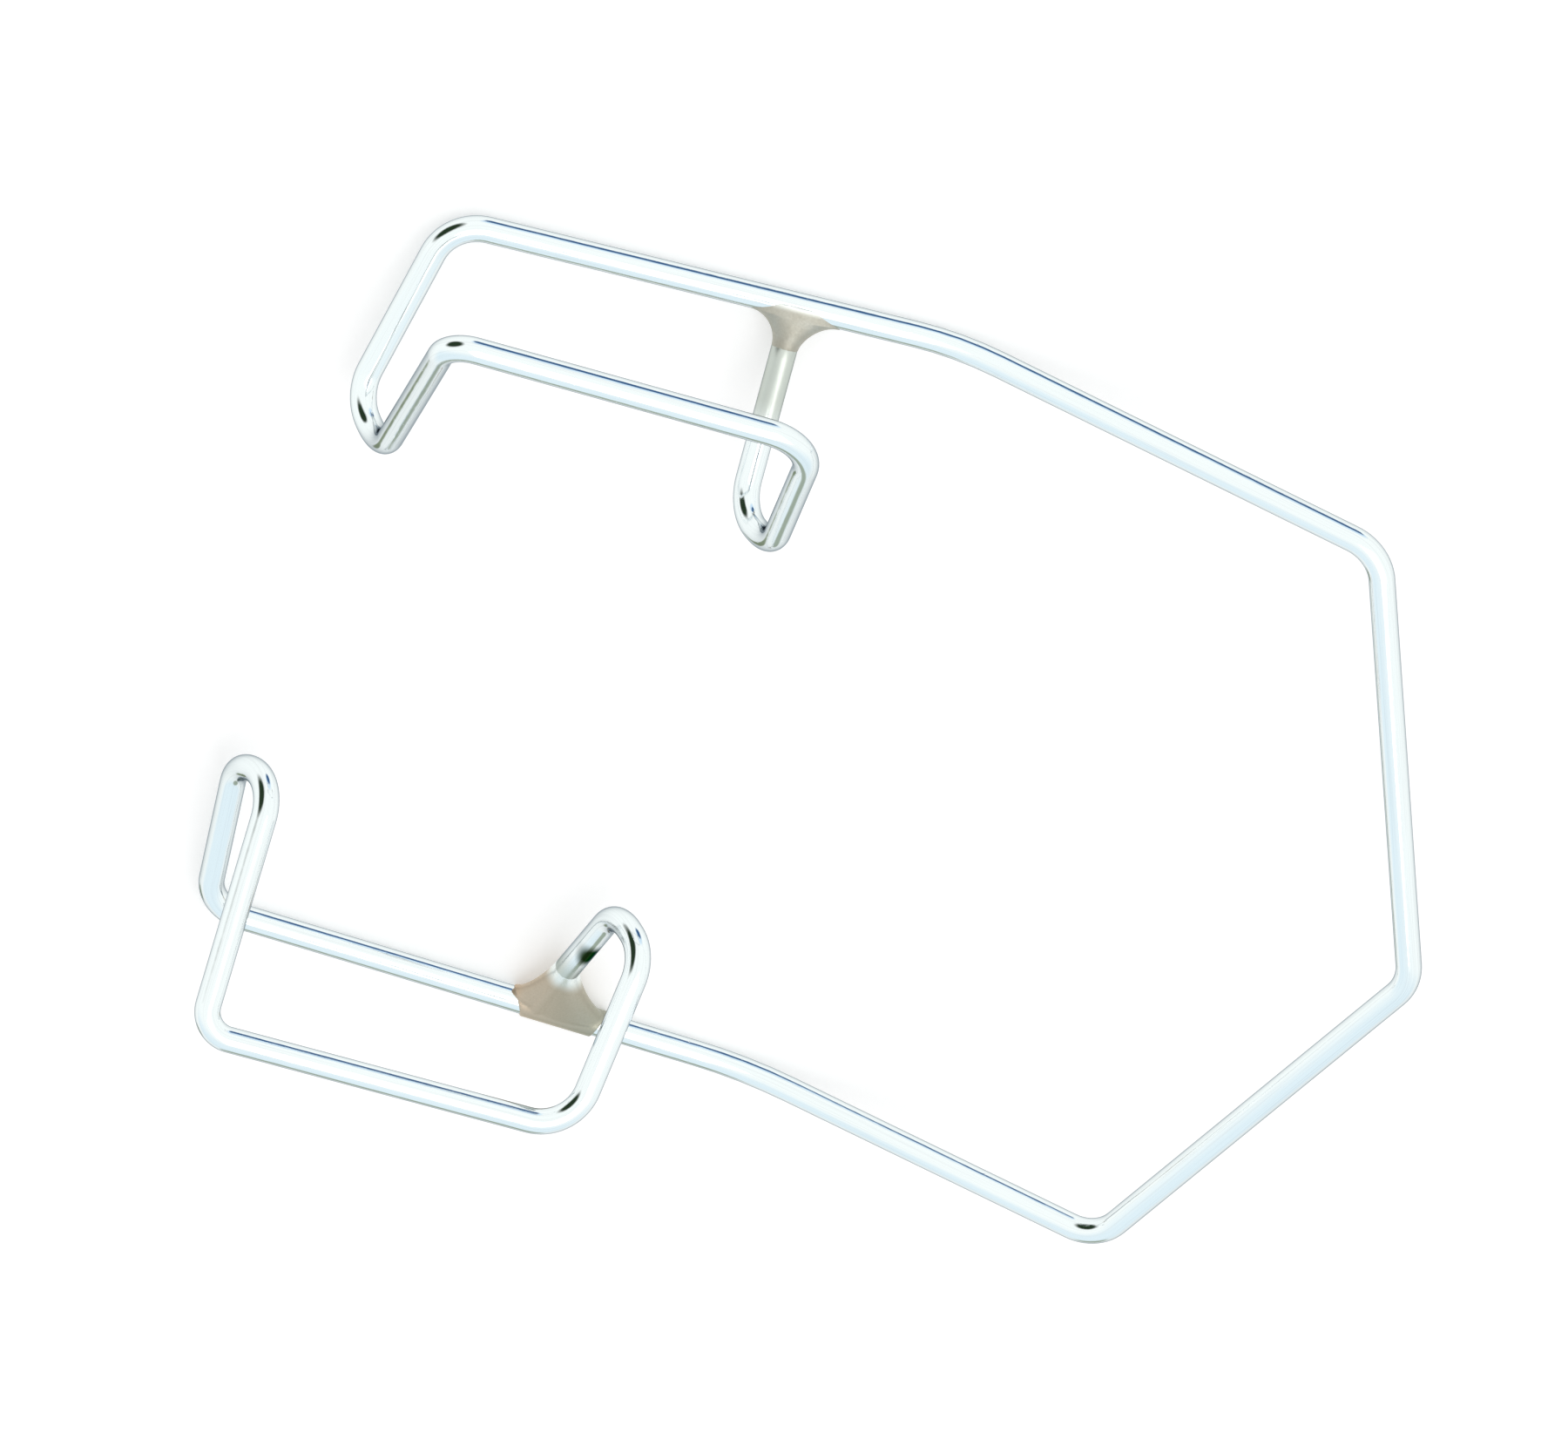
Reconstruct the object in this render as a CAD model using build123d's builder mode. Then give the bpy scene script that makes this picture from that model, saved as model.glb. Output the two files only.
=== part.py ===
# Wire eye speculum: one round wire bent into a sprung frame with two open blades,
# and a brazed joint that closes each blade back onto its own arm.
# Millimetres. The frame lies on its two arms: +X runs from the blade tips to the
# spring, +Y to the upper blade, and +Z to the raised side of the lid slots.

import os
from collections import namedtuple
from math import cos, radians, sin

from build123d import *

# Wire
wire_diameter = 1.0

# Spring: a V that climbs from the arm bends, with its apex on the middle line
apex_x = 43.1
apex_rise = 8.0
spring_corner_x = 36.2
spring_corner_y = 16.5
spring_corner_rise = 5.7
spring_bend_radius = 1.8

# Arms: straight and level from the blade tips to a gentle bend
upper_arm_bend_x = 19.6
lower_arm_bend_x = 22.0
arm_bend_y = 16.9
arm_bend_radius = 10.0

# Blades: an outer wire lying level and an under-lid wire above it
blade_y = 16.15
upper_blade_length = 13.5
lower_blade_length = 14.1
slot_height = 8.5
under_lid_y = 16.1
under_lid_tip_x = 0.2
under_lid_overrun = 0.8
outer_tip_radius = 1.8
under_lid_tip_radius = 1.1
under_lid_root_radius = 1.9

# Hooks: each leg runs in from its long wire and the two meet in a narrow round bottom
hook_radius = 1.7
hook_skew = 0.2
tip_low_y = 8.6
tip_low_rise = 1.2
tip_low_lean = 1.1
tip_high_y = 7.6
tip_high_rise = 3.3
root_low_y = 9.3
root_low_rise = 3.2
root_low_lean = 0.2
root_high_y = 9.5
root_high_rise = 5.4
root_high_lean = 1.4
lower_foot_lean = 0.85

# Brazed joints: a fillet between each wire end and its arm, with a reach along the arm
# and a climb up the wire. At the lower one the wire leans, the alloy fills more of the
# narrow corner, and it has also run right round the arm, as a thin sleeve
braze_gap = 0.05
braze_skin = 0.05
upper_fillet_reach = 1.2
upper_fillet_climb = 1.2
lower_fillet_reach = 1.4
lower_fillet_climb = 2.7
lower_fillet_offset = 0.45
fillet_angles = [0, 45, 90]
lower_sleeve_length = 3.7
lower_sleeve_skin = 0.08
braze_floor = 0.05

wire_radius = wire_diameter / 2

# The two sides: +1 or -1 for the side of the middle line, the blade, the arm bend and
# how far the wire's end leans from the joint's middle towards the tips
Side = namedtuple("Side", "sign blade_length arm_bend_x foot_lean")
upper = Side(1, upper_blade_length, upper_arm_bend_x, 0)
lower = Side(-1, lower_blade_length, lower_arm_bend_x, lower_foot_lean)


# Place of the root hook along the arm
def root_x(side):
    return side.blade_length - side.sign * hook_skew


# Point on the arm's centre line at a distance from the blade tip
def on_arm(side, x):
    spread = (arm_bend_y - blade_y) * x / side.arm_bend_x
    return Vector(x, side.sign * (blade_y + spread), 0)


# Point on the arm's centre line where the blade's own end comes back to it
def foot(side):
    return on_arm(side, root_x(side) - side.foot_lean)


# Bend where the blade's last leg sets off for its foot
def last_bend(side):
    return Vector(root_x(side) + root_low_lean, side.sign * root_low_y, root_low_rise)


# End of the wire, a brazing gap short of the arm
def wire_end(side):
    approach = (foot(side) - last_bend(side)).normalized()
    return foot(side) - approach * (wire_radius + braze_gap)


# Bends of one side, from the spring corner to the blade's end, with their radii
def side_bends(side):
    sign = side.sign
    tip_x = -sign * hook_skew
    under_lid_root_x = side.blade_length + under_lid_overrun
    return [
        (Vector(spring_corner_x, sign * spring_corner_y, spring_corner_rise), spring_bend_radius),
        (Vector(side.arm_bend_x, sign * arm_bend_y, 0), arm_bend_radius),
        (Vector(0, sign * blade_y, 0), outer_tip_radius),
        (Vector(tip_x - tip_low_lean, sign * tip_low_y, tip_low_rise), hook_radius),
        (Vector(tip_x + under_lid_tip_x, sign * tip_high_y, tip_high_rise), hook_radius),
        (Vector(under_lid_tip_x, sign * under_lid_y, slot_height), under_lid_tip_radius),
        (Vector(under_lid_root_x, sign * under_lid_y, slot_height), under_lid_root_radius),
        (Vector(root_x(side) + root_high_lean, sign * root_high_y, root_high_rise), hook_radius),
        (last_bend(side), hook_radius),
    ]


apex = (Vector(apex_x, 0, apex_rise), spring_bend_radius)
bends = side_bends(lower)[::-1] + [apex] + side_bends(upper)
route = [wire_end(lower)] + [point for point, radius in bends] + [wire_end(upper)]
radii = [radius for point, radius in bends]

# The origin lies under the middle of the frame, on the surface that the arms lie on
with BuildLine() as layout:
    FilletPolyline(*route, radius=radii)
bench = Plane(origin=(-layout.line.bounding_box().center().X, 0, wire_radius))

# The wire, one round section along the whole route
with BuildPart() as wire_frame:
    with BuildLine() as centre_line:
        FilletPolyline(*[bench.from_local_coords(point) for point in route], radius=radii)
    with BuildSketch(Plane(origin=centre_line.line @ 0, z_dir=centre_line.line % 0)):
        Circle(wire_radius)
    sweep()
wire_frame.part.label = "wire_frame"


# Brazed joint: oval sections that narrow round an arc, from the arm up the wire's end
def brazed_joint(side, reach, climb, offset=0, sleeve_length=0, sleeve_skin=0):
    base = bench.from_local_coords(foot(side))
    middle = bench.from_local_coords(on_arm(side, root_x(side)))
    along = Vector(side.arm_bend_x, side.sign * (arm_bend_y - blade_y), 0).normalized()
    up_the_leg = (last_bend(side) - foot(side)).normalized()
    neck = wire_radius + braze_skin
    with BuildPart() as joint:
        for angle in fillet_angles:
            share = 1 - sin(radians(angle))
            height = wire_radius + climb * (1 - cos(radians(angle)))
            centre = base + up_the_leg * height + along * offset * share
            with BuildSketch(Plane(origin=centre, x_dir=along, z_dir=up_the_leg)):
                Ellipse(neck + reach * share, neck)
        loft()
        with BuildSketch(Plane(origin=base + along * offset, x_dir=along, z_dir=up_the_leg)):
            Ellipse(neck + reach, neck)
        extrude(amount=wire_radius)
        if sleeve_length > 0:
            with BuildSketch(Plane(origin=middle, z_dir=along)):
                Circle(wire_radius + sleeve_skin)
            extrude(amount=sleeve_length / 2, both=True)
        add(wire_frame.part, mode=Mode.SUBTRACT)
        split(bisect_by=Plane.XY.offset(braze_floor), keep=Keep.TOP)
    return joint


upper_braze = brazed_joint(upper, upper_fillet_reach, upper_fillet_climb)
upper_braze.part.label = "upper_braze"

lower_braze = brazed_joint(
    lower, lower_fillet_reach, lower_fillet_climb, lower_fillet_offset, lower_sleeve_length, lower_sleeve_skin)
lower_braze.part.label = "lower_braze"

os.makedirs("parts", exist_ok=True)
export_step(wire_frame.part, "parts/wire_frame.step")
export_step(upper_braze.part, "parts/upper_braze.step")
export_step(lower_braze.part, "parts/lower_braze.step")
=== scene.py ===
import math

import bmesh
import bpy
from mathutils import Matrix, Vector


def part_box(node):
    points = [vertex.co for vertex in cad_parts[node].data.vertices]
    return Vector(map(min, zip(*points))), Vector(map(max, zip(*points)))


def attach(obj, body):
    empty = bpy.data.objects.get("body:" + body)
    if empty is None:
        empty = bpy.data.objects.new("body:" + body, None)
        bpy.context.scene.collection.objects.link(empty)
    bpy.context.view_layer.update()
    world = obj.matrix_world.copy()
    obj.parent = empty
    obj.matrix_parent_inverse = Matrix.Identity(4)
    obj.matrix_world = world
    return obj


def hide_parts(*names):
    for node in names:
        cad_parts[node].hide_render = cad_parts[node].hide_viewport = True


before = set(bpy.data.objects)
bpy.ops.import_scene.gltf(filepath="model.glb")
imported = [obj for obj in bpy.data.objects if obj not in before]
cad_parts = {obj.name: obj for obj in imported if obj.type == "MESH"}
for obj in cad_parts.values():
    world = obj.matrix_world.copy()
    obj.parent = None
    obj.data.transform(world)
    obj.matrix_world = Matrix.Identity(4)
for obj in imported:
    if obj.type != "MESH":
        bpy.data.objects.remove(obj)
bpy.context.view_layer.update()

mm = 0.001
print("frame loaded:", sorted(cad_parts))

# the camera looks down on the instrument, with the spring to the right and the picture turned half round
camera = {
    "place": (-78.13 * mm, 247.46 * mm, 396.89 * mm),
    "lookAt": (-3.05 * mm, 1.14 * mm, 4.00 * mm),
    "roll": -178.99,
    "lens": 285.92,
    "sensor": 36,
    "near": 0.01,
    "far": 20,
}

# the wire's bends in millimetres: x from the blade tips, y from the middle, z from the arms' centre line;
# a ring of points comes every bendStep degrees of a bend and every runStep of a run
wire = {
    "radius": 0.5,
    "apex": (43.1, 8.0), "springCorner": (36.2, 16.5, 5.7), "springRadius": 1.8,
    "armBendY": 16.9, "armRadius": 10.0,
    "bladeY": 16.15, "slotHeight": 8.5,
    "outerTipRadius": 1.8,
    "underLidY": 16.1, "underLidTipX": 0.2, "underLidOverrun": 0.8,
    "underLidTipRadius": 1.1, "underLidRootRadius": 1.9,
    "hookRadius": 1.7, "hookSkew": 0.2,
    "tipLow": (-1.1, 8.6, 1.2), "tipHigh": (0.2, 7.6, 3.3),
    "rootLow": (0.2, 9.3, 3.2), "rootHigh": (1.4, 9.5, 5.4),
    "endGap": 0.05,
    "ringPoints": 64, "bendStep": 5.0, "runStep": 1.5,
}
upper = {"name": "upper", "sign": 1, "bladeLength": 13.5, "armBendX": 19.6, "footLean": 0}
lower = {"name": "lower", "sign": -1, "bladeLength": 14.1, "armBendX": 22.0, "footLean": 0.85}


def rootX(side):
    return side["bladeLength"] - side["sign"] * wire["hookSkew"]


def onArm(side, x):
    spread = (wire["armBendY"] - wire["bladeY"]) * x / side["armBendX"]
    return Vector((x, side["sign"] * (wire["bladeY"] + spread), 0))


# the wire's end comes back to the arm here
def footOf(side):
    return onArm(side, rootX(side) - side["footLean"])


def lastBend(side):
    lean, y, rise = wire["rootLow"]
    return Vector((rootX(side) + lean, side["sign"] * y, rise))


def upTheLeg(side):
    return (lastBend(side) - footOf(side)).normalized()


# corners of one side from the spring to the blade's last leg, each with its bend radius
def sideBends(side):
    sign = side["sign"]
    tipX = -sign * wire["hookSkew"]
    hook = wire["hookRadius"]
    high = wire["slotHeight"]
    cornerX, cornerY, cornerRise = wire["springCorner"]
    lowLean, lowY, lowRise = wire["tipLow"]
    highLean, highY, highRise = wire["tipHigh"]
    rootLean, rootY, rootRise = wire["rootHigh"]
    underY = sign * wire["underLidY"]
    return [
        (Vector((cornerX, sign * cornerY, cornerRise)), wire["springRadius"]),
        (Vector((side["armBendX"], sign * wire["armBendY"], 0)), wire["armRadius"]),
        (Vector((0, sign * wire["bladeY"], 0)), wire["outerTipRadius"]),
        (Vector((tipX + lowLean, sign * lowY, lowRise)), hook),
        (Vector((tipX + highLean, sign * highY, highRise)), hook),
        (Vector((wire["underLidTipX"], underY, high)), wire["underLidTipRadius"]),
        (Vector((side["bladeLength"] + wire["underLidOverrun"], underY, high)), wire["underLidRootRadius"]),
        (Vector((rootX(side) + rootLean, sign * rootY, rootRise)), hook),
        (lastBend(side), hook),
    ]


def wireEnd(side):
    return footOf(side) + upTheLeg(side) * (wire["radius"] + wire["endGap"])


# on the wire, each point keeps its place round the ring and takes its distance along it
def extrudeRing(bm, ring, matrix, layer=None, along=0):
    grown = bmesh.ops.extrude_edge_only(bm, edges=ring)["geom"]
    verts = [item for item in grown if isinstance(item, bmesh.types.BMVert)]
    bmesh.ops.transform(bm, matrix=matrix, verts=verts)
    if layer:
        for vert in verts:
            vert[layer] = (vert[layer].x, vert[layer].y, along)
    fresh = set(verts)
    return [item for item in grown if isinstance(item, bmesh.types.BMEdge) and set(item.verts) <= fresh]


# the ring goes straight on over each run, and round a centre at each bend
def makeWire():
    apexX, apexRise = wire["apex"]
    apex = (Vector((apexX, 0, apexRise)), wire["springRadius"])
    bends = sideBends(lower)[::-1] + [apex] + sideBends(upper)
    corners = [wireEnd(lower)] + [corner for corner, radius in bends] + [wireEnd(upper)]
    bm = bmesh.new()
    layer = bm.verts.layers.float_vector.new("wirePlace")
    heading = (corners[1] - corners[0]).normalized()
    circle = bmesh.ops.create_circle(bm, segments=wire["ringPoints"], radius=wire["radius"])["verts"]
    for vert in circle:
        vert[layer] = (vert.co.x / wire["radius"], vert.co.y / wire["radius"], 0)
    face = Matrix.Translation(corners[0]) @ heading.to_track_quat("Z", "Y").to_matrix().to_4x4()
    bmesh.ops.transform(bm, matrix=face, verts=circle)
    ring = list(bm.edges)
    bmesh.ops.contextual_create(bm, geom=ring)
    here, along = corners[0], 0.0
    for index, (corner, radius) in enumerate(bends, start=1):
        ahead = (corners[index + 1] - corner).normalized()
        turn = heading.angle(ahead)
        cut = radius * math.tan(turn / 2)
        run = (corner - heading * cut - here).length
        steps = max(1, round(run / wire["runStep"]))
        for step in range(steps):
            along += run / steps
            ring = extrudeRing(bm, ring, Matrix.Translation(heading * run / steps), layer, along)
        axis = heading.cross(ahead).normalized()
        centre = corner - heading * cut + axis.cross(heading) * radius
        steps = max(2, round(math.degrees(turn) / wire["bendStep"]))
        swing = Matrix.Rotation(turn / steps, 4, axis)
        swing = Matrix.Translation(centre) @ swing @ Matrix.Translation(-centre)
        for step in range(steps):
            along += radius * turn / steps
            ring = extrudeRing(bm, ring, swing, layer, along)
        here, heading = corner + ahead * cut, ahead
    run = (corners[-1] - here).length
    steps = max(1, round(run / wire["runStep"]))
    for step in range(steps):
        along += run / steps
        ring = extrudeRing(bm, ring, Matrix.Translation(heading * run / steps), layer, along)
    bmesh.ops.contextual_create(bm, geom=ring)
    bmesh.ops.recalc_face_normals(bm, faces=bm.faces)
    return bm, along


def finishPiece(bm, name, node, material):
    for face in bm.faces:
        face.smooth = True
    mesh = bpy.data.meshes.new(name)
    bm.to_mesh(mesh)
    bm.free()
    mesh.materials.append(material)
    piece = bpy.data.objects.new(name, mesh)
    bpy.context.scene.collection.objects.link(piece)
    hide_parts(node)
    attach(piece, "root")
    return piece


def newMaterial(name):
    material = bpy.data.materials.new(name)
    material.use_nodes = True
    tree = material.node_tree
    tree.nodes.clear()
    return material, tree


def addNode(tree, kind, x, y, **settings):
    node = tree.nodes.new(kind)
    node.location = (x, y)
    for key, value in settings.items():
        setattr(node, key, value)
    return node


def addRange(tree, source, low, high, x, y, toLow=0.0, toHigh=1.0, curve="LINEAR"):
    spread = addNode(tree, "ShaderNodeMapRange", x, y, interpolation_type=curve)
    spread.inputs["From Min"].default_value = low
    spread.inputs["From Max"].default_value = high
    spread.inputs["To Min"].default_value = toLow
    spread.inputs["To Max"].default_value = toHigh
    tree.links.new(source, spread.inputs["Value"])
    return spread.outputs["Result"]


def addMask(tree, source, low, high, x, y):
    return addRange(tree, source, low, high, x, y, curve="SMOOTHSTEP")


def addMath(tree, operation, first, second, x, y):
    node = addNode(tree, "ShaderNodeMath", x, y, operation=operation)
    tree.links.new(first, node.inputs[0])
    tree.links.new(second, node.inputs[1])
    return node.outputs[0]


# each side of the mix is a colour, a number or another node's output
def addMix(tree, kind, first, second, factor, x, y, blend="MIX"):
    mix = addNode(tree, "ShaderNodeMix", x, y, data_type=kind, blend_type=blend)
    for socket, source in ((mix.inputs["A"], first), (mix.inputs["B"], second)):
        if isinstance(source, bpy.types.NodeSocket):
            tree.links.new(source, socket)
        else:
            socket.default_value = source
    tree.links.new(factor, mix.inputs["Factor"])
    return mix.outputs["Result"]


marking = {
    "lineScale": 1.0, "lineDetail": 4.0, "lineRoughness": 0.65,
    "swellScale": 0.9, "swellDetail": 2.0,
    "nickScale": 1.7, "nickRim": 0.11, "nickBottom": 0.04,
}


# drawing lines, unevenness and nicks; the place is stretched to make streaks or an even grain
def makeMarksGroup():
    group = bpy.data.node_groups.new("handlingMarks", "ShaderNodeTree")
    for name, way, kind in (
        ("Place", "INPUT", "NodeSocketVector"),
        ("Stretch", "INPUT", "NodeSocketVector"),
        ("Unevenness", "INPUT", "NodeSocketFloat"),
        ("Lines", "OUTPUT", "NodeSocketFloat"),
        ("Height", "OUTPUT", "NodeSocketFloat"),
    ):
        group.interface.new_socket(name, in_out=way, socket_type=kind)
    link = group.links.new
    entry = addNode(group, "NodeGroupInput", -900, 0)
    leave = addNode(group, "NodeGroupOutput", 700, 0)
    drawn = addNode(group, "ShaderNodeVectorMath", -700, 100, operation="MULTIPLY")
    link(entry.outputs["Place"], drawn.inputs[0])
    link(entry.outputs["Stretch"], drawn.inputs[1])
    lines = addNode(group, "ShaderNodeTexNoise", -450, 200)
    lines.inputs["Scale"].default_value = marking["lineScale"]
    lines.inputs["Detail"].default_value = marking["lineDetail"]
    lines.inputs["Roughness"].default_value = marking["lineRoughness"]
    link(drawn.outputs["Vector"], lines.inputs["Vector"])
    swell = addNode(group, "ShaderNodeTexNoise", -450, -100)
    swell.inputs["Scale"].default_value = marking["swellScale"]
    swell.inputs["Detail"].default_value = marking["swellDetail"]
    link(entry.outputs["Place"], swell.inputs["Vector"])
    cells = addNode(group, "ShaderNodeTexVoronoi", -450, -350)
    cells.inputs["Scale"].default_value = marking["nickScale"]
    link(entry.outputs["Place"], cells.inputs["Vector"])
    nicks = addMask(group, cells.outputs["Distance"], marking["nickRim"], marking["nickBottom"], -200, -350)
    waves = addMath(group, "MULTIPLY", swell.outputs["Fac"], entry.outputs["Unevenness"], -200, -100)
    height = addMath(group, "ADD", lines.outputs["Fac"], waves, 100, 0)
    sunk = addMath(group, "SUBTRACT", height, nicks, 350, -100)
    link(lines.outputs["Fac"], leave.inputs["Lines"])
    link(sunk, leave.inputs["Height"])
    return group


marks = makeMarksGroup()


def addMarks(tree, place, look, x, y):
    made = addNode(tree, "ShaderNodeGroup", x, y)
    made.node_tree = marks
    made.inputs["Stretch"].default_value = look["stretch"]
    made.inputs["Unevenness"].default_value = look["unevenness"]
    tree.links.new(place, made.inputs["Place"])
    return made


def addBump(tree, shader, height, look, x, y):
    bump = addNode(tree, "ShaderNodeBump", x, y)
    bump.inputs["Strength"].default_value = look["bumpStrength"]
    bump.inputs["Distance"].default_value = look["bumpDepth"] * mm
    tree.links.new(height, bump.inputs["Height"])
    tree.links.new(bump.outputs["Normal"], shader.inputs["Normal"])


# each heat is where the dulled steel ends and where it is bright, in millimetres from the wire's end;
# the painted dark reflection lies up the lower blade's last leg, then shifted, with its half sizes as reach
steel = {
    "bright": (0.87, 0.895, 0.90, 1),
    "shade": (0.78, 0.80, 0.81, 1),
    "heated": (0.60, 0.62, 0.57, 1),
    # the colour of the painted dark reflection
    "darkReflection": (0.03, 0.055, 0.02, 1),
    "edge": (0.34, 0.37, 0.40, 1),
    "streaks": (0.5, 0.75),
    "sheen": (0.35, 0.75),
    "polished": 0.05,
    "drawn": 0.13,
    "dulled": 0.34,
    "darkReflectionClimb": 4.85,
    "darkReflectionShift": (0.16, 0.24, 0.38),
    "darkReflectionReach": (0.58, 1.20, 0.62),
    "darkReflectionCore": 0.45,
    "stretch": (9.0, 9.0, 0.12),
    "unevenness": 6.0,
    "lowerHeat": (2.7, 4.2),
    "upperHeat": (3.0, 5.0),
    "bumpStrength": 0.35,
    "bumpDepth": 0.004,
}


# polished wire with drawing lines along it, dulled by heat beside the joints at its two ends,
# and one painted dark reflection, a near-black green spot, on the lower blade's last leg
def makeSteel(length):
    material, tree = newMaterial("polishedSteel")
    link = tree.links.new
    out = addNode(tree, "ShaderNodeOutputMaterial", 1300, 0)
    shader = addNode(tree, "ShaderNodeBsdfPrincipled", 1000, 0)
    shader.inputs["Metallic"].default_value = 1.0
    shader.inputs["Specular Tint"].default_value = steel["edge"]
    place = addNode(tree, "ShaderNodeAttribute", -1100, 0, attribute_name="wirePlace")
    made = addMarks(tree, place.outputs["Vector"], steel, -800, 200)
    parts = addNode(tree, "ShaderNodeSeparateXYZ", -800, -200)
    link(place.outputs["Vector"], parts.inputs["Vector"])
    near, far = steel["lowerHeat"]
    lowerHeat = addMask(tree, parts.outputs["Z"], far, near, -550, -200)
    near, far = steel["upperHeat"]
    upperHeat = addMask(tree, parts.outputs["Z"], length - far, length - near, -550, -460)
    heat = addMath(tree, "MAXIMUM", lowerHeat, upperHeat, -300, -300)

    # painted reflection: a near-black green oval up the lower blade's last leg stands for dark surroundings
    # mirrored in the wire
    where = addNode(tree, "ShaderNodeTexCoord", -1100, -700)
    around = addNode(tree, "ShaderNodeMapping", -800, -700)
    climb = upTheLeg(lower) * steel["darkReflectionClimb"]
    middle = footOf(lower) + climb + Vector(steel["darkReflectionShift"]) + bench / mm
    reach = steel["darkReflectionReach"]
    around.inputs["Scale"].default_value = [1 / (mm * size) for size in reach]
    around.inputs["Location"].default_value = [-centre / size for centre, size in zip(middle, reach)]
    link(where.outputs["Object"], around.inputs["Vector"])
    away = addNode(tree, "ShaderNodeVectorMath", -550, -700, operation="LENGTH")
    link(around.outputs["Vector"], away.inputs[0])
    darkReflectionMask = addMask(tree, away.outputs["Value"], 1.0, steel["darkReflectionCore"], -300, -700)

    streaks = addRange(tree, made.outputs["Lines"], *steel["streaks"], -250, 300)
    tone = addMix(tree, "RGBA", steel["bright"], steel["shade"], streaks, 0, 300)
    tone = addMix(tree, "RGBA", tone, steel["heated"], heat, 250, 300)
    # the painted dark reflection goes into the base colour here
    tone = addMix(tree, "RGBA", tone, steel["darkReflection"], darkReflectionMask, 500, 300)
    link(tone, shader.inputs["Base Color"])
    rough = addRange(tree, made.outputs["Lines"], *steel["sheen"], 0, 0, steel["polished"], steel["drawn"])
    rough = addMix(tree, "FLOAT", rough, steel["dulled"], heat, 250, 0)
    link(rough, shader.inputs["Roughness"])
    addBump(tree, shader, made.outputs["Height"], steel, 700, -300)
    link(shader.outputs["BSDF"], out.inputs["Surface"])
    return material


wireMesh, wireLength = makeWire()
for vert in wireMesh.verts:
    vert.co *= mm
nodeLow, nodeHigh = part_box("wire_frame")
madeLowX = min(vert.co.x for vert in wireMesh.verts)
madeHighX = max(vert.co.x for vert in wireMesh.verts)
bench = Vector(((nodeLow.x + nodeHigh.x - madeLowX - madeHighX) / 2, 0, wire["radius"] * mm))
bmesh.ops.translate(wireMesh, vec=bench, verts=wireMesh.verts)
print("wire bent:", round(wireLength, 1), "mm of wire,", len(wireMesh.faces), "faces")
finishPiece(wireMesh, "bentWire", "wire_frame", makeSteel(wireLength))

# ahead and behind: an oval's reach along the arm on each side of the leg, and how fast it narrows;
# the skin thins to topSkin at the top, and starts later the higher its thinning is;
# sleeve ends: how far from the joint's middle, and how far they slant
joint = {
    "upper": {"ahead": (1.3, 0.85), "behind": (1.2, 1.1), "climb": 1.2, "sleeveLength": 0},
    "lower": {"ahead": (2.7, 0.62), "behind": (0.75, 0.88), "climb": 2.7, "sleeveLength": 3.7},
    "skin": 0.05,
    "topSkin": 0.006,
    "thinning": 4,
    "sleeveSkin": 0.08,
    "sleeveEnds": ((-1.68, 0.55), (1.70, 0.40)),
    "slantAlong": (0, 0.85, -0.53),
    "floor": 0.05,
    "ringPoints": 48,
    "filletSteps": 12,
    "voxel": 0.030,
    "smoothing": 8,
}

# the lower joint's tones lie along X, the two joints part over the middle band of Y, and each
# turns silver between two heights up its leg
alloy = {
    "metallic": 0.75,
    "middleBand": (-1.0, 1.0),
    "pearl": (0.50, 0.485, 0.425, 1),
    "sand": (0.46, 0.43, 0.36, 1),
    "blotches": (0.35, 0.65),
    "blotchScale": 0.9,
    "blotchDetail": 3.0,
    "lowerTones": (
        (-9.1, (0.66, 0.42, 0.24, 1)),
        (-8.2, (0.62, 0.50, 0.38, 1)),
        (-4.9, (0.42, 0.41, 0.33, 1)),
    ),
    "silver": (0.84, 0.86, 0.83, 1),
    "silverRoughness": 0.26,
    "lowerSilver": (2.15, 3.0),
    "upperSilver": (0.30, -0.04),
    "grainTone": (0.86, 0.85, 0.84, 1),
    "grain": (0.3, 0.7),
    "smooth": 0.38,
    "rough": 0.55,
    "stretch": (12.0, 12.0, 12.0),
    "unevenness": 2.0,
    "bumpStrength": 0.4,
    "bumpDepth": 0.01,
}


def addRamp(tree, source, stops, x, y):
    ramp = addNode(tree, "ShaderNodeValToRGB", x, y)
    spots = ramp.color_ramp.elements
    for index, (place, colour) in enumerate(stops):
        spot = spots[index] if index < len(spots) else spots.new(1.0)
        spot.position = place
        spot.color = colour
    tree.links.new(source, ramp.inputs["Fac"])
    return ramp.outputs["Color"]


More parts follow.
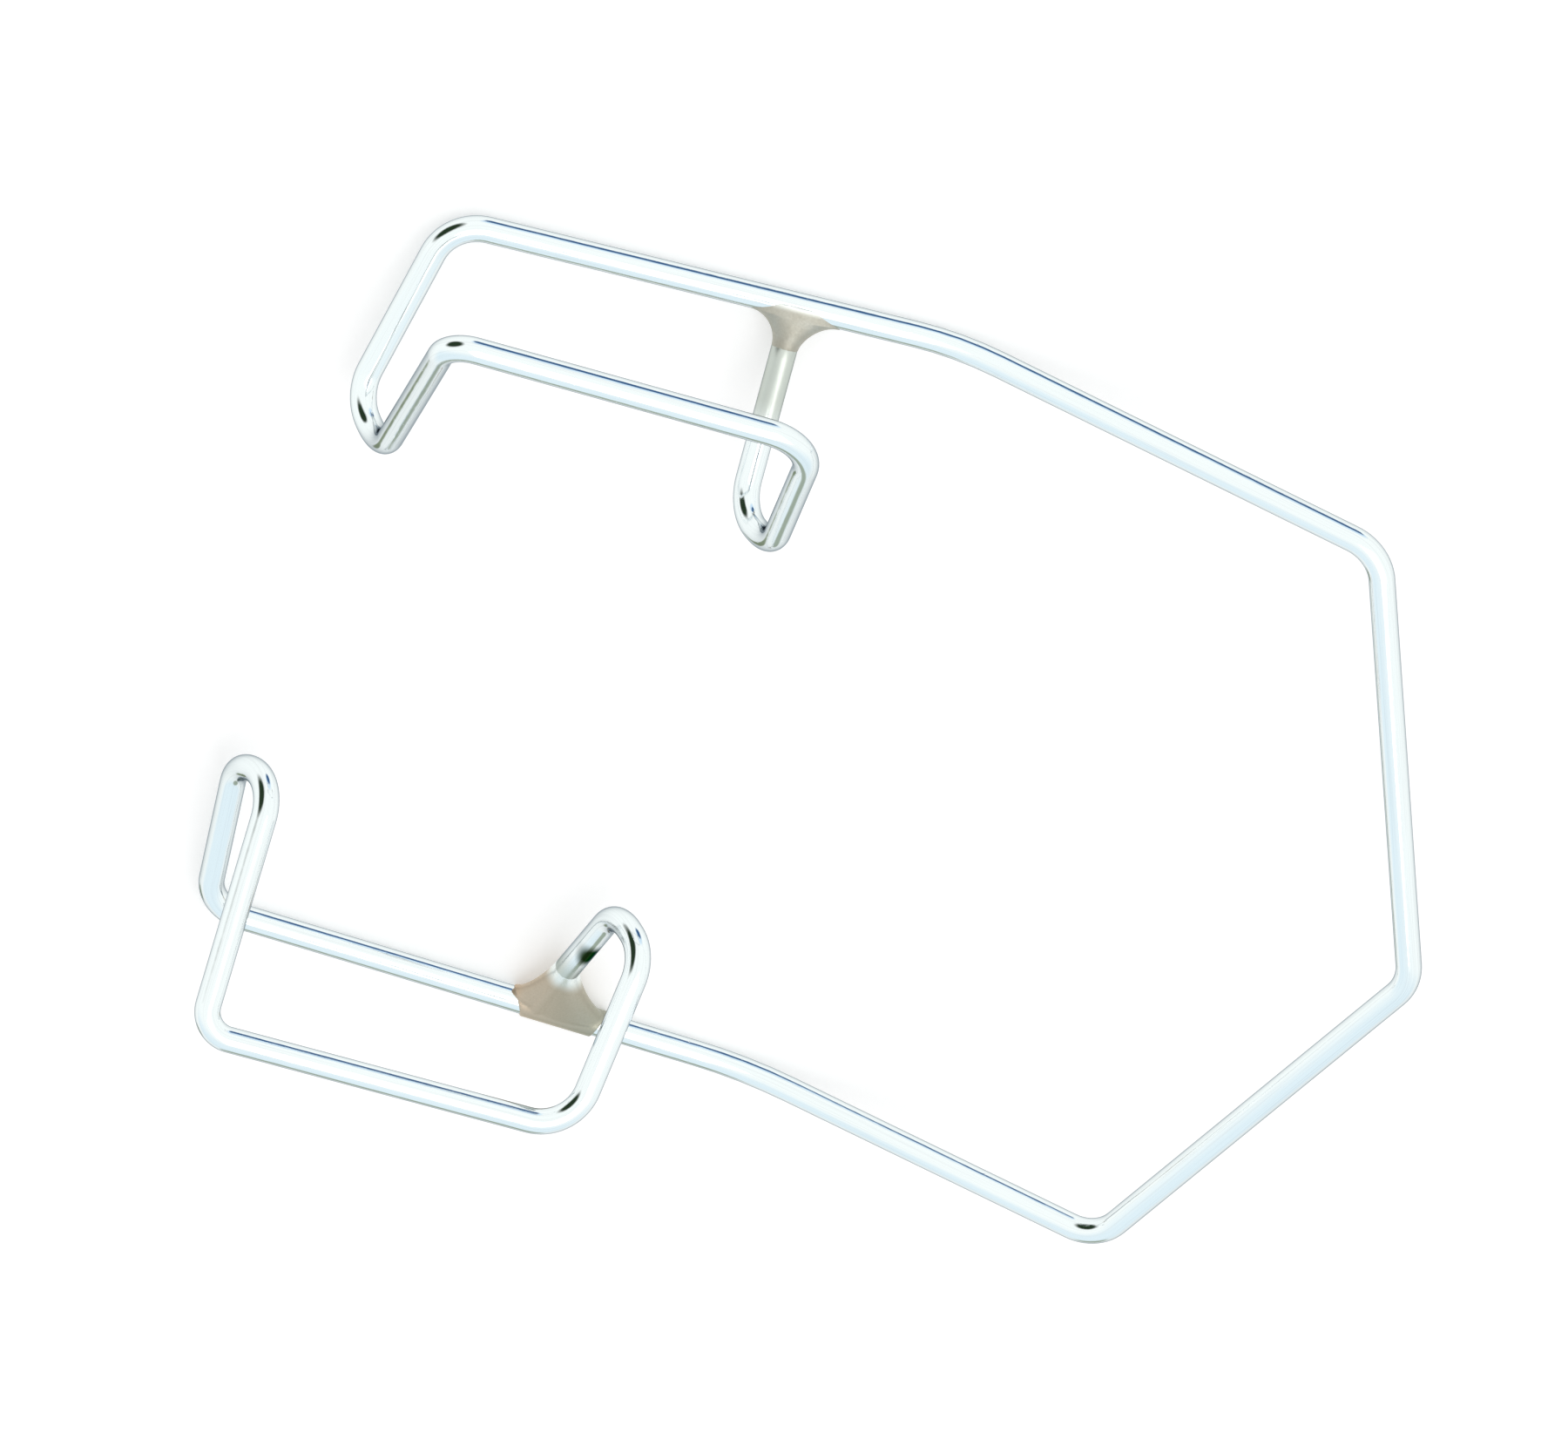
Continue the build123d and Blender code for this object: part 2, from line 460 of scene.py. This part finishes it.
# brazing alloy, pearl and sand on the upper joint and brown to olive grey on the lower one
def makeBraze():
    material, tree = newMaterial("brazeAlloy")
    link = tree.links.new
    out = addNode(tree, "ShaderNodeOutputMaterial", 1100, 0)
    shader = addNode(tree, "ShaderNodeBsdfPrincipled", 800, 0)
    shader.inputs["Metallic"].default_value = alloy["metallic"]
    where = addNode(tree, "ShaderNodeTexCoord", -1100, 0)
    scaled = addNode(tree, "ShaderNodeMapping", -900, 0)
    scaled.inputs["Scale"].default_value = (1 / mm, 1 / mm, 1 / mm)
    link(where.outputs["Object"], scaled.inputs["Vector"])
    made = addMarks(tree, scaled.outputs["Vector"], alloy, -650, -250)
    parts = addNode(tree, "ShaderNodeSeparateXYZ", -650, 450)
    link(scaled.outputs["Vector"], parts.inputs["Vector"])
    onUpper = addRange(tree, parts.outputs["Y"], *alloy["middleBand"], -400, 450)

    blotch = addNode(tree, "ShaderNodeTexNoise", -650, 150)
    blotch.inputs["Scale"].default_value = alloy["blotchScale"]
    blotch.inputs["Detail"].default_value = alloy["blotchDetail"]
    link(scaled.outputs["Vector"], blotch.inputs["Vector"])
    pearlFrom, sandFrom = alloy["blotches"]
    upperStops = ((pearlFrom, alloy["pearl"]), (sandFrom, alloy["sand"]))
    upperTone = addRamp(tree, blotch.outputs["Fac"], upperStops, -400, 150)
    stops = alloy["lowerTones"]
    start, end = stops[0][0], stops[-1][0]
    drift = addRange(tree, parts.outputs["X"], start, end, -650, 700)
    lowerStops = [((place - start) / (end - start), colour) for place, colour in stops]
    lowerTone = addRamp(tree, drift, lowerStops, -400, 700)
    tone = addMix(tree, "RGBA", lowerTone, upperTone, onUpper, -100, 300)
    tone = addMix(tree, "RGBA", tone, alloy["grainTone"], made.outputs["Lines"], 100, 150, "MULTIPLY")

    silvered = []
    for row, side in enumerate((lower, upper)):
        climb = addNode(tree, "ShaderNodeVectorMath", -650, 950 + 250 * row, operation="DOT_PRODUCT")
        climb.inputs[1].default_value = upTheLeg(side)
        link(scaled.outputs["Vector"], climb.inputs[0])
        foot = (footOf(side) + bench / mm).dot(upTheLeg(side))
        low, high = alloy[side["name"] + "Silver"]
        bare = addMask(tree, climb.outputs["Value"], foot + low, foot + high, -400, 950 + 250 * row)
        silvered.append(bare)
    thin = addMix(tree, "FLOAT", *silvered, onUpper, -100, 700)
    tone = addMix(tree, "RGBA", tone, alloy["silver"], thin, 350, 250)
    link(tone, shader.inputs["Base Color"])
    grain = made.outputs["Lines"]
    rough = addRange(tree, grain, *alloy["grain"], 100, -100, alloy["smooth"], alloy["rough"])
    rough = addMix(tree, "FLOAT", rough, alloy["silverRoughness"], thin, 350, -100)
    link(rough, shader.inputs["Roughness"])
    addBump(tree, shader, made.outputs["Height"], alloy, 400, -300)
    link(shader.outputs["BSDF"], out.inputs["Surface"])
    return material


# oval rings narrow round an arc from the arm up the wire's end, over a cone that follows the wire,
# and a sleeve may go round the arm
def makeJoint(side, material):
    form = joint[side["name"]]
    base = footOf(side)
    rise = upTheLeg(side)
    along = Vector((side["armBendX"], side["sign"] * (wire["armBendY"] - wire["bladeY"]), 0)).normalized()
    across = rise.cross(along).normalized()
    basis = Matrix((across.cross(rise), across, rise)).transposed().to_4x4()
    neck = wire["radius"] + joint["skin"]
    bm = bmesh.new()
    bmesh.ops.create_circle(bm, segments=joint["ringPoints"], radius=1, cap_ends=True)
    ring = list(bm.edges)
    before = Matrix.Identity(4)
    # the first two rings are the full oval, at the arm's middle and a wire radius above it
    for step in range(joint["filletSteps"] + 2):
        angle = math.radians(90) * max(0, step - 1) / joint["filletSteps"]
        share = max(0, 1 - math.sin(angle))
        ahead, behind = [reach * share ** power for reach, power in (form["ahead"], form["behind"])]
        height = min(step, 1) * wire["radius"] + form["climb"] * (1 - math.cos(angle))
        thinned = neck - (joint["skin"] - joint["topSkin"]) * math.sin(angle) ** joint["thinning"]
        place = Matrix.Translation(base + rise * height + along * (ahead - behind) / 2) @ basis
        now = place @ Matrix.Diagonal((thinned + (ahead + behind) / 2, thinned, 1, 1))
        if step == 0:
            bmesh.ops.transform(bm, matrix=now, verts=bm.verts)
        else:
            ring = extrudeRing(bm, ring, now @ before.inverted())
        before = now
    bmesh.ops.contextual_create(bm, geom=ring)
    bmesh.ops.create_cone(
        bm, cap_ends=True, segments=joint["ringPoints"], radius1=neck,
        radius2=wire["radius"] + joint["topSkin"], depth=height,
        matrix=Matrix.Translation(base + rise * height / 2) @ basis)
    cuts = [(Vector((0, 0, joint["floor"] * mm)), Vector((0, 0, -1)))]
    if form["sleeveLength"]:
        sleeve = wire["radius"] + joint["sleeveSkin"]
        turned = along.to_track_quat("Z", "Y").to_matrix().to_4x4()
        bmesh.ops.create_cone(
            bm, cap_ends=True, segments=joint["ringPoints"], radius1=sleeve, radius2=sleeve,
            depth=form["sleeveLength"], matrix=Matrix.Translation(onArm(side, rootX(side))) @ turned)
        for shift, slant in joint["sleeveEnds"]:
            end = onArm(side, rootX(side) + shift)
            facing = Vector((math.copysign(1, shift), 0, 0)) - Vector(joint["slantAlong"]) * slant
            cuts.append((end * mm + bench, facing))
    bmesh.ops.recalc_face_normals(bm, faces=bm.faces)
    for vert in bm.verts:
        vert.co = vert.co * mm + bench
    for place, facing in cuts:
        cut = bmesh.ops.bisect_plane(
            bm, geom=bm.verts[:] + bm.edges[:] + bm.faces[:], plane_co=place, plane_no=facing,
            clear_outer=True)["geom_cut"]
        bmesh.ops.holes_fill(bm, edges=[item for item in cut if isinstance(item, bmesh.types.BMEdge)])
    piece = finishPiece(bm, side["name"] + "Joint", side["name"] + "_braze", material)
    remesh = piece.modifiers.new("oneSkin", "REMESH")
    remesh.mode = "VOXEL"
    remesh.voxel_size = joint["voxel"] * mm
    remesh.use_smooth_shade = True
    smooth = piece.modifiers.new("flowed", "SMOOTH")
    smooth.iterations = joint["smoothing"]


brazeMaterial = makeBraze()
makeJoint(upper, brazeMaterial)
makeJoint(lower, brazeMaterial)
print("joints made")

# each thing in the tent has its place in degrees, and the cosines at its rim and where it is full
studio = {
    "floorSize": 6.0,
    "floorColour": (0.93, 0.93, 0.93, 1),
    "floorRoughness": 0.9,
    "floorLift": 0.25,
    "skyForDiffuse": 0.74,
    "white": (1.0, 1.0, 1.0, 1),
    "tentWhite": (1.06, 1.11, 1.10, 1),
    "paleBlue": (0.85, 0.985, 1.05, 1),
    "blueSide": (0.05, -0.70),
    "blueHigh": (-0.10, 0.30),
    "navyGlow": {
        "azimuth": 84, "elevation": -14,
        "colour": (0.70, 0.88, 1.04, 1), "rim": 0.945, "full": 0.985},
    "navy": {
        "azimuth": 84, "elevation": -21,
        "colour": (0.05, 0.13, 0.28, 1), "rim": 0.974, "full": 0.992},
    "darkGreen": {
        "azimuth": 145, "elevation": 9,
        "colour": (0.02, 0.04, 0.02, 1), "rim": 0.880, "full": 0.965},
    "olive": {
        "azimuth": -80, "elevation": 3,
        "colour": (0.40, 0.47, 0.39, 1), "rim": 0.970, "full": 0.992},
    "moss": {
        "azimuth": -116, "elevation": -24,
        "colour": (0.30, 0.36, 0.24, 1), "rim": 0.986, "full": 0.996},
    "keySize": 0.50,
    "keyPower": 0.9,
    "keyPlace": (0.16, 0.10, 0.62),
}


# lifted to white for the camera, with its shadow kept; the metal sees the tent in its place
def makeFloor():
    bm = bmesh.new()
    bmesh.ops.create_grid(bm, x_segments=1, y_segments=1, size=studio["floorSize"] / 2)
    mesh = bpy.data.meshes.new("floor")
    bm.to_mesh(mesh)
    bm.free()
    floor = bpy.data.objects.new("floor", mesh)
    bpy.context.scene.collection.objects.link(floor)
    material, tree = newMaterial("paleFloor")
    link = tree.links.new
    out = addNode(tree, "ShaderNodeOutputMaterial", 700, 0)
    shader = addNode(tree, "ShaderNodeBsdfPrincipled", 100, 100)
    shader.inputs["Base Color"].default_value = studio["floorColour"]
    shader.inputs["Roughness"].default_value = studio["floorRoughness"]
    shader.inputs["Specular IOR Level"].default_value = 0.0
    rays = addNode(tree, "ShaderNodeLightPath", -400, -200)
    lift = addNode(tree, "ShaderNodeMath", 0, -200, operation="MULTIPLY")
    lift.inputs[1].default_value = studio["floorLift"]
    link(rays.outputs["Is Camera Ray"], lift.inputs[0])
    glow = addNode(tree, "ShaderNodeEmission", 250, -200)
    link(lift.outputs[0], glow.inputs["Strength"])
    both = addNode(tree, "ShaderNodeAddShader", 500, 0)
    link(shader.outputs["BSDF"], both.inputs[0])
    link(glow.outputs["Emission"], both.inputs[1])
    link(both.outputs["Shader"], out.inputs["Surface"])
    mesh.materials.append(material)
    floor.visible_glossy = False


# a light tent that only reflections see, white all round and pale blue high on the -Y side,
# with a few darker things in it
def makeWorld():
    world = bpy.data.worlds.new("studioTent")
    bpy.context.scene.world = world
    world.use_nodes = True
    tree = world.node_tree
    tree.nodes.clear()
    link = tree.links.new
    out = addNode(tree, "ShaderNodeOutputWorld", 1400, 0)
    way = addNode(tree, "ShaderNodeTexCoord", -1200, 0)
    parts = addNode(tree, "ShaderNodeSeparateXYZ", -1000, 0)
    link(way.outputs["Generated"], parts.inputs["Vector"])
    blueSide = addMask(tree, parts.outputs["Y"], *studio["blueSide"], -700, 500)
    blueHigh = addMask(tree, parts.outputs["Z"], *studio["blueHigh"], -700, 250)
    blue = addMath(tree, "MULTIPLY", blueSide, blueHigh, -450, 400)
    colour = addMix(tree, "RGBA", studio["tentWhite"], studio["paleBlue"], blue, -200, 400)
    for row, name in enumerate(("navyGlow", "navy", "darkGreen", "olive", "moss")):
        thing = studio[name]
        heading, tilt = math.radians(thing["azimuth"]), math.radians(thing["elevation"])
        aim = addNode(tree, "ShaderNodeVectorMath", -700, -250 * row, operation="DOT_PRODUCT")
        aim.inputs[1].default_value = (
            math.cos(heading) * math.cos(tilt), math.sin(heading) * math.cos(tilt), math.sin(tilt))
        link(way.outputs["Generated"], aim.inputs[0])
        mask = addMask(tree, aim.outputs["Value"], thing["rim"], thing["full"], -450, -250 * row)
        colour = addMix(tree, "RGBA", colour, thing["colour"], mask, 160 * row, 400 - 60 * row)

    tent = addNode(tree, "ShaderNodeBackground", 800, 100)
    link(colour, tent.inputs["Color"])
    plain = addNode(tree, "ShaderNodeBackground", 800, -100)
    plain.inputs["Color"].default_value = studio["white"]
    plain.inputs["Strength"].default_value = studio["skyForDiffuse"]
    clean = addNode(tree, "ShaderNodeBackground", 1000, -250)
    clean.inputs["Color"].default_value = studio["white"]
    rays = addNode(tree, "ShaderNodeLightPath", 600, 400)
    glossy = addNode(tree, "ShaderNodeMixShader", 1000, 0)
    link(rays.outputs["Is Glossy Ray"], glossy.inputs["Fac"])
    link(plain.outputs["Background"], glossy.inputs[1])
    link(tent.outputs["Background"], glossy.inputs[2])
    seen = addNode(tree, "ShaderNodeMixShader", 1200, 0)
    link(rays.outputs["Is Camera Ray"], seen.inputs["Fac"])
    link(glossy.outputs["Shader"], seen.inputs[1])
    link(clean.outputs["Background"], seen.inputs[2])
    link(seen.outputs["Shader"], out.inputs["Surface"])


def makeKey():
    data = bpy.data.lights.new("softbox", "AREA")
    data.shape = "SQUARE"
    data.size = studio["keySize"]
    data.energy = studio["keyPower"]
    lamp = bpy.data.objects.new("softbox", data)
    bpy.context.scene.collection.objects.link(lamp)
    lamp.location = studio["keyPlace"]
    lamp.rotation_mode = "QUATERNION"
    lamp.rotation_quaternion = (-lamp.location).to_track_quat("-Z", "Y")


def makeCamera():
    data = bpy.data.cameras.new("camera")
    data.lens = camera["lens"]
    data.sensor_width = camera["sensor"]
    eye = bpy.data.objects.new("camera", data)
    bpy.context.scene.collection.objects.link(eye)
    place = Vector(camera["place"])
    aim = Vector(camera["lookAt"]) - place
    turn = aim.to_track_quat("-Z", "Y").to_matrix().to_4x4()
    roll = Matrix.Rotation(math.radians(camera["roll"]), 4, "Z")
    eye.matrix_world = Matrix.Translation(place) @ turn @ roll
    data.clip_start = camera["near"]
    data.clip_end = camera["far"]
    bpy.context.scene.camera = eye


makeFloor()
makeWorld()
makeKey()
makeCamera()
bpy.context.scene.view_settings.view_transform = "Standard"
print("studio ready")
